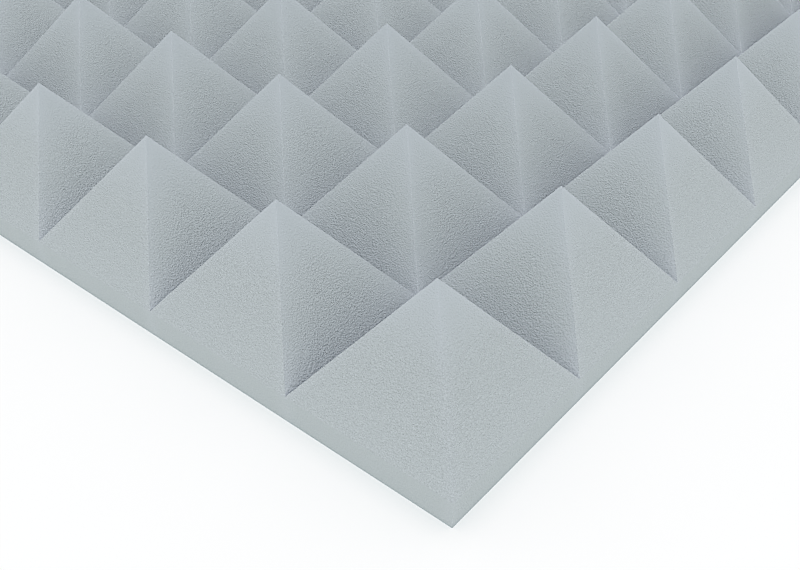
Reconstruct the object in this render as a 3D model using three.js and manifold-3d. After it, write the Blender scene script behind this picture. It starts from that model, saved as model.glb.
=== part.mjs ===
// Acoustic foam panel. A square slab of open-cell foam has its front cut into rows of pyramids by two
// crossed passes of a zigzag blade. The back carries a self-adhesive film that stops just short of its edges,
// and a paper liner in two halves covers the film until the panel is hung.
// Millimetres, +Z up. The panel lies on its back, and the origin is the centre of the face it rests on.

import * as THREE from 'three';
import { mergeVertices } from 'three/addons/utils/BufferGeometryUtils.js';
import Module from 'manifold-3d';

// Pyramids
const pyramidPitch = 62.5; // from one tip to the next
const pyramidsAcross = 8; // along X
const pyramidsAlong = 8; // along Y
const tipFlat = 0.4; // width of the blunt end that the blade leaves on each tip

// Foam
const foamThickness = 50.5; // from the back to the tips
const baseThickness = 9.7; // the uncut slab under the valleys

// Backing
const filmThickness = 0.2; // adhesive on its scrim
const linerThickness = 0.15; // siliconised paper
const linerSlit = 0.4; // the gap where a thumb starts to peel the liner
const backingInset = 2; // how far film and liner stop short of the foam's edge, so that they don't show

const panelWidth = pyramidPitch * pyramidsAcross;
const panelLength = pyramidPitch * pyramidsAlong;
const backingWidth = panelWidth - 2 * backingInset;
const backingLength = panelLength - 2 * backingInset;
const filmBottom = linerThickness;
const foamBottom = filmBottom + filmThickness;
const quarterTurn = Math.PI / 2;

const wasm = await Module();
wasm.setup();

// The outline of one blade pass, seen along the pass: a flat back, two upright side walls and a row of
// blunt-tipped teeth whose valleys meet in a sharp V.
function zigzagOutline(teeth) {
  const halfWidth = (teeth * pyramidPitch) / 2;
  const halfTip = tipFlat / 2;
  const outline = new THREE.Shape();
  outline.moveTo(-halfWidth, 0);
  outline.lineTo(halfWidth, 0);
  outline.lineTo(halfWidth, baseThickness);
  for (let tooth = teeth - 1; tooth >= 0; tooth -= 1) {
    const valley = tooth * pyramidPitch - halfWidth;
    const crest = valley + pyramidPitch / 2;
    outline.lineTo(crest + halfTip, foamThickness);
    outline.lineTo(crest - halfTip, foamThickness);
    outline.lineTo(valley, baseThickness);
  }
  return outline;
}

// A slab with its teeth running along Y for the given length, centred on the origin.
function ridgedSlab(teeth, length) {
  const slab = new THREE.ExtrudeGeometry(zigzagOutline(teeth), { depth: length, bevelEnabled: false });
  slab.rotateX(quarterTurn);
  slab.translate(0, length / 2, 0);
  return slab;
}

function toSolid(geometry) {
  const bare = geometry.clone();
  bare.deleteAttribute('normal');
  bare.deleteAttribute('uv');
  const merged = mergeVertices(bare);
  const vertProperties = new Float32Array(merged.attributes.position.array);
  const triVerts = new Uint32Array(merged.index.array);
  return new wasm.Manifold(new wasm.Mesh({ numProp: 3, vertProperties, triVerts }));
}

function toGeometry(solid) {
  const mesh = solid.getMesh();
  const geometry = new THREE.BufferGeometry();
  geometry.setAttribute('position', new THREE.BufferAttribute(mesh.vertProperties, mesh.numProp));
  geometry.setIndex(new THREE.BufferAttribute(mesh.triVerts, 1));
  geometry.computeVertexNormals();
  return geometry;
}

// The foam that both blade passes leave: where two crossed rows of teeth overlap, each crossing is a pyramid.
function foamGeometry() {
  const firstPass = toSolid(ridgedSlab(pyramidsAcross, panelLength));
  const crossed = ridgedSlab(pyramidsAlong, panelWidth);
  crossed.rotateZ(quarterTurn);
  const secondPass = toSolid(crossed);
  return toGeometry(firstPass.intersect(secondPass));
}

// A flat sheet with its underside at height zero.
function sheetGeometry(width, length, thickness) {
  const sheet = new THREE.BoxGeometry(width, length, thickness);
  sheet.translate(0, 0, thickness / 2);
  return sheet;
}

function foamMaterial() {
  return new THREE.MeshStandardMaterial({
    color: 0xb5bdc1,
    roughness: 0.95,
    metalness: 0,
    flatShading: true,
  });
}

function filmMaterial() {
  return new THREE.MeshStandardMaterial({ color: 0xd3d3c8, roughness: 0.35, metalness: 0 });
}

function linerMaterial() {
  return new THREE.MeshStandardMaterial({ color: 0xeae4d3, roughness: 0.55, metalness: 0 });
}

function foamPanel() {
  const foam = new THREE.Mesh(foamGeometry(), foamMaterial());
  foam.name = 'foam_panel';
  foam.position.z = foamBottom;
  return foam;
}

function adhesiveFilm() {
  const film = new THREE.Mesh(sheetGeometry(backingWidth, backingLength, filmThickness), filmMaterial());
  film.name = 'adhesive_film';
  film.position.z = filmBottom;
  return film;
}

// One half of the liner, on the side of the slit that the sign gives.
function releaseLiner(name, side) {
  const width = (backingWidth - linerSlit) / 2;
  const liner = new THREE.Mesh(sheetGeometry(width, backingLength, linerThickness), linerMaterial());
  liner.name = name;
  liner.position.x = (side * (linerSlit + width)) / 2;
  return liner;
}

const panel = new THREE.Group();
panel.add(
  foamPanel(),
  adhesiveFilm(),
  releaseLiner('release_liner_left', -1),
  releaseLiner('release_liner_right', 1),
);

export default panel;
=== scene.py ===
"""Looks of the acoustic foam panel: the foam's cut front, its cells, the glue film and the paper liner.

Lengths are in metres, in the frame's own axes: +Z out of the back towards the tips. The foam is built
again from the frame's sizes, with blunted ridges and a surface that wanders as cut foam does. The film
and the two halves of the liner keep their frame shapes and get their own finish. Colours are linear.
"""

import math

import bpy
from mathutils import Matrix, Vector, noise


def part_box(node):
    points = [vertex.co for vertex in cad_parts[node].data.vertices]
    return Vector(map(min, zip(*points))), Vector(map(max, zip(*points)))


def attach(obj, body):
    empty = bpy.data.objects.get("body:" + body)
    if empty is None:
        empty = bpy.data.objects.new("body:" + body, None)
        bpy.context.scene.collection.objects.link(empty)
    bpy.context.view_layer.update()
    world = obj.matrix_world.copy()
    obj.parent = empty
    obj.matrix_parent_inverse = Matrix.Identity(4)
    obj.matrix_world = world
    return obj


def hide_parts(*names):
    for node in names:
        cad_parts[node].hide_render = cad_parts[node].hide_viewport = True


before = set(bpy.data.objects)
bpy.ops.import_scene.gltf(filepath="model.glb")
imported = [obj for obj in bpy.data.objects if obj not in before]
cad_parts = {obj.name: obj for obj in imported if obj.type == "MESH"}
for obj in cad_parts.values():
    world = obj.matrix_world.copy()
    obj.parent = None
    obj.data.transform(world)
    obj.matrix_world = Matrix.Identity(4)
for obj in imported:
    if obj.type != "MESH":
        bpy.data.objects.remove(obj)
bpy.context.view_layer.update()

MM = 0.001

# The photograph's camera, in the frame
PHOTO_WIDTH_PX = 800
CAMERA_PLACE = Vector((-390.2, -349.2, 212.2)) * MM
CAMERA_AIM = Vector((-176.3, -170.0, 0.0)) * MM
FOCAL_LENGTH_PX = 986.7
SENSOR_WIDTH_MM = 36.0
CLIP_NEAR = 10 * MM

# Sharpening, as the photograph's camera does it
SHARPENING = 1.0  # share of the fine detail that is added again
DETAIL_WIDTH_PX = 3

# Foam
PYRAMIDS = 8  # along each side
FACE_ROWS = 16  # rows of faces from a valley up to a tip
WALL_ROWS = 5  # rows of faces up the side wall
TIP_HALF = 0.1 * MM  # half the width of the small flat on each tip
RIDGE_CUT = 0.15 * MM  # how far each ridge is cut back on both of its sides
SAME_PLACE = 0.001 * MM  # corners nearer than this are one
HEIGHT_DIGITS = 5  # decimals to which the frame's heights are told apart
RIM_LIFT = 0.05 * MM  # past the film's edge the soft foam sags down to this height
RIM_SHARE = 0.85  # of the width between the film's edge and the foam's, which the sagging rim takes
WANDER = ((28 * MM, 0.12 * MM), (3.5 * MM, 0.05 * MM))  # (wavelength, height) of the cut's unevenness
WANDER_SEED = 1  # not 0, which takes the seed from the clock
CREASE_ANGLE = math.radians(15)  # an edge that turns by more than this is a crease

# Light: a dome that brightens from the horizon to the zenith
HORIZON_COLOUR = (1.05, 1.10, 1.02, 1)
ZENITH_COLOUR = (1.48, 1.46, 1.54, 1)
FLOOR_COLOUR = (0.430, 0.378, 0.352, 1)
GLOW_COLOUR = (0.428, 0.501, 0.528, 1)  # the floor's own light, for the photograph's white ground
FLOOR_SIZE = 6.0
FLOOR_DROP = 0.05 * MM  # the floor lies this far under the panel, so that the two share no plane


def look_at(eye, target):
    return (target - eye).to_track_quat("-Z", "Y")


def make_camera():
    data = bpy.data.cameras.new("camera")
    data.sensor_width = SENSOR_WIDTH_MM
    data.lens = FOCAL_LENGTH_PX / PHOTO_WIDTH_PX * SENSOR_WIDTH_MM
    data.clip_start = CLIP_NEAR
    camera = bpy.data.objects.new("camera", data)
    camera.location = CAMERA_PLACE
    camera.rotation_mode = "QUATERNION"
    camera.rotation_quaternion = look_at(CAMERA_PLACE, CAMERA_AIM)
    bpy.context.scene.collection.objects.link(camera)
    bpy.context.scene.camera = camera


class Mesh:
    """Gathers faces by the places of their corners, so that faces which meet share their corners."""

    def __init__(self):
        self.places = []
        self.faces = []
        self.index = {}

    def corner(self, place):
        key = tuple(round(value / SAME_PLACE) for value in place)
        if key not in self.index:
            self.index[key] = len(self.places)
            self.places.append(Vector(place))
        return self.index[key]

    def face(self, *places):
        """Adds a face, unless fewer than three of its corners are apart from each other."""
        corners = list(dict.fromkeys(self.corner(place) for place in places))
        if len(corners) > 2:
            self.faces.append(corners)

    def object(self, name):
        data = bpy.data.meshes.new(name)
        data.from_pydata(self.places, [], self.faces)
        data.update()
        made = bpy.data.objects.new(name, data)
        bpy.context.scene.collection.objects.link(made)
        return made


class FoamShape:
    """The sizes of the foam, read from its frame node."""

    def __init__(self, node):
        low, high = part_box(node)
        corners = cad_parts[node].data.vertices
        heights = sorted({round(corner.co.z, HEIGHT_DIGITS) for corner in corners})
        self.low, self.high = low, high
        self.bottom, self.valley, self.tip = heights[0], heights[1], heights[-1]
        self.pitch = (high.x - low.x) / PYRAMIDS
        self.row_step = (self.pitch / 2 - TIP_HALF) / FACE_ROWS
        self.rim_width = (high.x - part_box("adhesive_film")[1].x) * RIM_SHARE

    def ground_place(self, columns, lines):
        """The place on the ground that is so many pyramids along x and along y from the low corner."""
        return Vector((self.low.x + columns * self.pitch, self.low.y + lines * self.pitch, 0))

    def centre(self, column, line):
        return self.ground_place(column + 0.5, line + 0.5)

    def covers(self, place):
        """Whether a place lies over the panel, its edges included."""
        return (
            self.low.x - SAME_PLACE < place.x < self.high.x + SAME_PLACE
            and self.low.y - SAME_PLACE < place.y < self.high.y + SAME_PLACE
        )


def row_of_places(shape, centre, outward, row):
    """The corners along one row of a pyramid's face, from left to right as seen from outside."""
    half = shape.pitch / 2 - row * shape.row_step
    cut = min(RIDGE_CUT, half / 2)
    inner = [-half + shape.row_step * k for k in range(1, FACE_ROWS - row + 1)]
    left = [cut - half, *inner]
    along = [*left, *(-value for value in reversed(left))]
    height = shape.valley + (shape.tip - shape.valley) * row / FACE_ROWS
    rightward = Vector((-outward.y, outward.x, 0))
    foot = centre + outward * half + Vector((0, 0, height))
    return [foot + rightward * value for value in along]


# The ways that a pyramid's faces look, anticlockwise from above
OUTWARD = [Vector((1, 0, 0)), Vector((0, 1, 0)), Vector((-1, 0, 0)), Vector((0, -1, 0))]


def add_pyramid(mesh, shape, centre):
    """A pyramid's four faces, the strips where its ridges are cut back, and the small flat on its tip."""
    sides = [[row_of_places(shape, centre, way, row) for row in range(FACE_ROWS + 1)] for way in OUTWARD]
    for number, rows in enumerate(sides):
        following = sides[(number + 1) % len(sides)]
        for row in range(FACE_ROWS):
            lower, upper = rows[row], rows[row + 1]
            mesh.face(lower[0], lower[1], upper[0])
            for k in range(1, len(lower) - 2):
                mesh.face(lower[k], lower[k + 1], upper[k], upper[k - 1])
            mesh.face(lower[-2], lower[-1], upper[-1])
            mesh.face(lower[-1], following[row][0], following[row + 1][0], upper[-1])
    mesh.face(*(place for rows in sides for place in rows[FACE_ROWS]))


def add_valley_crossings(mesh, shape):
    """The small flats between the cut-back feet of the ridges that meet where valleys cross."""
    for column in range(PYRAMIDS + 1):
        for line in range(PYRAMIDS + 1):
            middle = shape.ground_place(column, line) + Vector((0, 0, shape.valley))
            corners = [middle + way * RIDGE_CUT for way in OUTWARD]
            mesh.face(*(place for place in corners if shape.covers(place)))


def rim(shape):
    """The top edge of the side wall, once round, anticlockwise from above."""
    last = PYRAMIDS - 1
    runs = [
        (OUTWARD[0], [(last, k) for k in range(PYRAMIDS)]),
        (OUTWARD[1], [(last - k, last) for k in range(PYRAMIDS)]),
        (OUTWARD[2], [(0, last - k) for k in range(PYRAMIDS)]),
        (OUTWARD[3], [(k, 0) for k in range(PYRAMIDS)]),
    ]
    return [
        place
        for outward, cells in runs
        for cell in cells
        for place in row_of_places(shape, shape.centre(*cell), outward, 0)
    ]


def on_back(shape, place):
    """The nearest point of the flat back, which the sagging rim leaves free round the film."""
    return Vector((
        max(shape.low.x + shape.rim_width, min(shape.high.x - shape.rim_width, place.x)),
        max(shape.low.y + shape.rim_width, min(shape.high.y - shape.rim_width, place.y)),
        shape.bottom,
    ))


def add_walls_and_back(mesh, shape):
    """The upright walls, the rim that sags past the film, and the flat back over the film."""
    top = rim(shape)
    drop = Vector((0, 0, (shape.valley - RIM_LIFT) / WALL_ROWS))
    for here, there in zip(top, top[1:] + top[:1]):
        for row in range(WALL_ROWS):
            upper, lower = drop * row, drop * (row + 1)
            mesh.face(here - lower, there - lower, there - upper, here - upper)
        foot, next_foot = here - drop * WALL_ROWS, there - drop * WALL_ROWS
        mesh.face(on_back(shape, foot), on_back(shape, next_foot), next_foot, foot)
    mesh.face(*(on_back(shape, place) for place in reversed(top)))


def wander(place, shape):
    """How far the cut strays at a place: nothing at the glued back, and all of it above the wall."""
    rise = max(0.0, min(1.0, (place.z - shape.bottom) / (shape.valley - shape.bottom)))
    return rise * sum(
        (noise.noise_vector(place / wavelength) * height for wavelength, height in WANDER),
        start=Vector((0, 0, 0)),
    )


def mark_creases(data, angle):
    data.shade_smooth()
    data.set_sharp_from_angle(angle=angle)


def make_foam():
    shape = FoamShape("foam_panel")
    mesh = Mesh()
    for column in range(PYRAMIDS):
        for line in range(PYRAMIDS):
            add_pyramid(mesh, shape, shape.centre(column, line))
    add_valley_crossings(mesh, shape)
    add_walls_and_back(mesh, shape)
    noise.seed_set(WANDER_SEED)
    mesh.places = [place + wander(place, shape) for place in mesh.places]
    foam = mesh.object("foam")
    mark_creases(foam.data, CREASE_ANGLE)
    foam.data.materials.append(foam_material(shape))
    return foam


# Sockets of a Mix node that mixes colours
MIX_FIRST, MIX_SECOND, MIX_RESULT = 6, 7, 2


class Nodes:
    """A short way to write a node tree."""

    def __init__(self, tree):
        self.tree = tree

    def add(self, kind, inputs=(), **settings):
        node = self.tree.nodes.new(kind)
        for key, value in settings.items():
            setattr(node, key, value)
        for key, value in dict(inputs).items():
            self.set(node.inputs[key], value)
        return node

    def set(self, socket, value):
        if isinstance(value, bpy.types.NodeSocket):
            self.tree.links.new(value, socket)
        else:
            socket.default_value = value

    def split(self, coordinate):
        """A texture coordinate, as a vector and in its three parts."""
        place = self.add("ShaderNodeTexCoord").outputs[coordinate]
        return place, self.add("ShaderNodeSeparateXYZ", {0: place}).outputs

    def math(self, operation, *values):
        node = self.add("ShaderNodeMath", operation=operation)
        for socket, value in zip(node.inputs, values):
            self.set(socket, value)
        return node.outputs[0]

    def ramp(self, value, start, end, at_start, at_end):
        """Goes from at_start to at_end while the value goes from start to end, and no further."""
        return self.add("ShaderNodeMapRange", enumerate((value, start, end, at_start, at_end))).outputs[0]

    def noise(self, place, size, detail):
        inputs = {"Vector": place, "Scale": 1 / size, "Detail": detail}
        return self.add("ShaderNodeTexNoise", inputs).outputs[0]

    def mix(self, share, first, second):
        node = self.add("ShaderNodeMix", data_type="RGBA")
        self.set(node.inputs["Factor"], share)
        self.set(node.inputs[MIX_FIRST], first)
        self.set(node.inputs[MIX_SECOND], second)
        return node.outputs[MIX_RESULT]


class Finish(Nodes):
    """A material and its nodes."""

    def __init__(self, name):
        self.material = bpy.data.materials.new(name)
        self.material.use_nodes = True
        super().__init__(self.material.node_tree)
        self.shader = self.tree.nodes["Principled BSDF"]

    def set_shader(self, **values):
        """Sets the shader's sockets, whose names are written with _ for a space."""
        for name, value in values.items():
            self.set(self.shader.inputs[name.replace("_", " ")], value)


# Finish of the foam
CELL_SIZE = 0.58 * MM
CELL_DEPTH = 0.325 * MM
STRUT_SIZE = 0.27 * MM
STRUT_DETAIL = 1.0
STRUT_HEIGHT = 0.5  # as a share of the cells' depth
PORE_COLOUR = (0.3435, 0.377, 0.388, 1)
STRUT_COLOUR = (0.4395, 0.481, 0.493, 1)
TIP_COLOUR = (0.383, 0.421, 0.444, 1)
PAINTED_LIGHT_COLOUR = (0.535, 0.567, 0.632, 1)  # painted light: where the faces light each other, the foam is paled to this
FOAM_SPECULAR = 0.1

# Ramps: their value goes from the third number to the fourth while what they read goes from the first
# to the second
STRUT_RAMP = (0.3, 0.7, 0.0, 1.0)  # share of the struts' colour, by their noise
TIP_RAMP = (0.5, 1.0, 0.0, 1.0)  # share of the tips' colour, by share of the height
CONTRAST_RAMP = (0.2, 0.8, 1.0, 0.4)  # contrast of the colours, by share of the height
RELIEF_RAMP = (0.55, 0.9, 1.0, 0.4)  # strength of the relief, by share of the height
OUTER_CALM = (0.0, 0.35, 0.3, 0.1)  # grain that the outermost faces lack, by share of the height
INNER_CALM = (0.0, 15 * MM, 0.4, 0.0)  # grain that the inner faces lack, by the way from a ridge
RIDGE_PAINTED_LIGHT = (0.0, 5 * MM, 0.08, 0.0)  # painted light on all faces, where the thin ridges let light through, by the way from a ridge
VALLEY_PAINTED_LIGHT = (0.0, 9 * MM, 0.2, 0.0)  # painted light that lifts the shade of the inner faces, by the way from a valley
INNER_RAMP = (0.0, 0.5 * MM, 0.0, 1.0)  # none on the outermost faces, whose nearest valley is the edge
WALL_GRAIN = (0.1, 0.3, 0.4, 1.0)  # most grain that there can be, by the upward part of the normal
WALL_PAINTED_LIGHT = (0.1, 0.3, 1.07, 1.0)  # painted light: the colour made brighter on the upright walls, by the upward part of the normal


def grain_and_painted_light(nodes, shape, split, rise):
    """The share of the grain that the faces show, and how far painted light pales them: near the thin
    ridges, and in the valleys where the faces light each other.
    """
    to_valleys = [nodes.math("PINGPONG", split[axis], shape.pitch / 2) for axis in "XY"]
    off_valley = nodes.math("MINIMUM", *to_valleys)
    off_ridge = nodes.math("ABSOLUTE", nodes.math("SUBTRACT", *to_valleys))
    off_middle = nodes.math("MAXIMUM", *(nodes.math("ABSOLUTE", split[axis]) for axis in "XY"))
    off_edge = nodes.math("SUBTRACT", shape.high.x, off_middle)
    inner = nodes.ramp(nodes.math("SUBTRACT", off_edge, off_valley), *INNER_RAMP)
    outer_calm = nodes.ramp(rise, *OUTER_CALM)
    more_calm = nodes.math("SUBTRACT", nodes.ramp(off_ridge, *INNER_CALM), outer_calm)
    calm = nodes.math("MULTIPLY_ADD", more_calm, inner, outer_calm)
    painted_valley_light = nodes.ramp(off_valley, *VALLEY_PAINTED_LIGHT)
    painted_light_share = nodes.math("MULTIPLY_ADD", painted_valley_light, inner, nodes.ramp(off_ridge, *RIDGE_PAINTED_LIGHT))
    return nodes.math("SUBTRACT", 1.0, calm), painted_light_share


def foam_material(shape):
    nodes = Finish("foam_cells_and_painted_light")
    place, split = nodes.split("Object")
    rise = nodes.ramp(split["Z"], shape.valley, shape.tip, 0.0, 1.0)
    normal = nodes.add("ShaderNodeNewGeometry").outputs["True Normal"]
    upward = nodes.add("ShaderNodeSeparateXYZ", {0: normal}).outputs["Z"]
    on_faces, painted_light_share = grain_and_painted_light(nodes, shape, split, rise)
    grain = nodes.math("MINIMUM", on_faces, nodes.ramp(upward, *WALL_GRAIN))

    cells = nodes.add("ShaderNodeTexVoronoi", {"Vector": place, "Scale": 1 / CELL_SIZE}).outputs["Distance"]
    struts = nodes.noise(place, STRUT_SIZE, STRUT_DETAIL)
    relief = nodes.math("MULTIPLY_ADD", struts, STRUT_HEIGHT, cells)
    strength = nodes.math("MULTIPLY", nodes.ramp(rise, *RELIEF_RAMP), grain)
    bump = nodes.add("ShaderNodeBump", {"Height": relief, "Distance": CELL_DEPTH, "Strength": strength})

    off_middle_tone = nodes.math("SUBTRACT", nodes.ramp(struts, *STRUT_RAMP), 0.5)
    contrast = nodes.math("MULTIPLY", nodes.ramp(rise, *CONTRAST_RAMP), grain)
    tone = nodes.math("MULTIPLY_ADD", off_middle_tone, contrast, 0.5)
    cut = nodes.mix(tone, PORE_COLOUR, STRUT_COLOUR)
    towards_tip = nodes.mix(nodes.ramp(rise, *TIP_RAMP), cut, TIP_COLOUR)
    # Painted light: near the ridges and in the valleys the colour is paled towards a lighter, bluer one
    paled_by_painted_light = nodes.mix(painted_light_share, towards_tip, PAINTED_LIGHT_COLOUR)
    # Painted light: the colour of the upright walls is made 7% brighter
    light = {0: paled_by_painted_light, "Scale": nodes.ramp(upward, *WALL_PAINTED_LIGHT)}
    colour = nodes.add("ShaderNodeVectorMath", light, operation="SCALE").outputs[0]

    nodes.set_shader(Base_Color=colour, Normal=bump.outputs[0])
    nodes.set_shader(Roughness=1.0, Specular_IOR_Level=FOAM_SPECULAR)
    return nodes.material


# Finish of the liner's paper
FIBRE_SIZE, FIBRE_DETAIL = 1.5 * MM, 5.0
FIBRE_DEPTH, FIBRE_STRENGTH = 0.03 * MM, 0.6
CLOUD_SIZE, CLOUD_DETAIL = 35 * MM, 3.0
PAPER_DARK = (0.72, 0.67, 0.53, 1)
PAPER_LIGHT = (0.86, 0.83, 0.72, 1)
PAPER_ROUGHNESS = (0.3, 0.7, 0.38, 0.5)  # a ramp by the fibres' noise


def liner_material():
    nodes = Finish("liner_paper")
    place, _ = nodes.split("Object")
    fibres = nodes.noise(place, FIBRE_SIZE, FIBRE_DETAIL)
    clouds = nodes.noise(place, CLOUD_SIZE, CLOUD_DETAIL)
    share = nodes.math("MULTIPLY", nodes.math("ADD", fibres, clouds), 0.5)
    colour = nodes.mix(share, PAPER_DARK, PAPER_LIGHT)
    relief = {"Height": fibres, "Distance": FIBRE_DEPTH, "Strength": FIBRE_STRENGTH}
    bump = nodes.add("ShaderNodeBump", relief).outputs[0]
    nodes.set_shader(Base_Color=colour, Normal=bump, Roughness=nodes.ramp(fibres, *PAPER_ROUGHNESS))
    return nodes.material


# Finish of the film: glue on a scrim of threads
THREAD_SPACING = 2.2 * MM
THREAD_WIDTH = 0.4 * MM
GLUE_COLOUR = (0.66, 0.66, 0.58, 1)
THREAD_COLOUR = (0.86, 0.86, 0.83, 1)
FILM_ROUGHNESS = (0.0, 1.0, 0.22, 0.4)  # a ramp from bare glue to thread


def film_material():
    nodes = Finish("film_glue")
    _, split = nodes.split("Object")
    off_threads = [nodes.math("PINGPONG", split[axis], THREAD_SPACING / 2) for axis in "XY"]
    thread = nodes.ramp(nodes.math("MINIMUM", *off_threads), 0.0, THREAD_WIDTH / 2, 1.0, 0.0)
    colour = nodes.mix(thread, GLUE_COLOUR, THREAD_COLOUR)
    nodes.set_shader(Base_Color=colour, Roughness=nodes.ramp(thread, *FILM_ROUGHNESS))
    return nodes.material


def floor_material():
    nodes = Finish("floor_white")
    nodes.set_shader(Base_Color=FLOOR_COLOUR, Roughness=1.0, Specular_IOR_Level=0.0)
    nodes.set_shader(Emission_Color=GLOW_COLOUR, Emission_Strength=1.0)
    return nodes.material


def make_floor():
    half = FLOOR_SIZE / 2
    mesh = Mesh()
    corners = [(-half, -half), (half, -half), (half, half), (-half, half)]
    mesh.face(*((x, y, -FLOOR_DROP) for x, y in corners))
    floor = mesh.object("floor")
    floor.data.materials.append(floor_material())


def make_light():
    world = bpy.data.worlds.new("dome")
    bpy.context.scene.world = world
    world.use_nodes = True
    nodes = Nodes(world.node_tree)
    _, direction = nodes.split("Generated")
    sky = nodes.mix(direction["Z"], HORIZON_COLOUR, ZENITH_COLOUR)
    nodes.set(world.node_tree.nodes["Background"].inputs["Color"], sky)
    bpy.context.scene.view_settings.view_transform = "Standard"


def sharpen_picture():
    """Adds the detail, which is the picture less its blurred self, to the picture."""
    scene = bpy.context.scene
    scene.use_nodes = True
    scene.node_tree.nodes.clear()
    nodes = Nodes(scene.node_tree)

    def blend(kind, share, first, second):
        inputs = enumerate((share, first, second))
        return nodes.add("CompositorNodeMixRGB", inputs, blend_type=kind).outputs["Image"]

    picture = nodes.add("CompositorNodeRLayers").outputs["Image"]
    blur = nodes.add("CompositorNodeBlur", {"Image": picture}, filter_type="GAUSS")
    blur.size_x = blur.size_y = DETAIL_WIDTH_PX
    detail = blend("SUBTRACT", 1.0, picture, blur.outputs["Image"])
    crisp = blend("ADD", SHARPENING, picture, detail)
    nodes.add("CompositorNodeComposite", {"Image": crisp})


def finish_node(name, material):
    """Gives its own finish to a piece that keeps its frame shape."""
    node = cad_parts[name]
    node.data.materials.clear()
    node.data.materials.append(material)


make_camera()
sharpen_picture()
make_light()
make_floor()

foam = make_foam()
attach(foam, "root")
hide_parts("foam_panel")

paper = liner_material()
finish_node("release_liner_left", paper)
finish_node("release_liner_right", paper)
finish_node("adhesive_film", film_material())
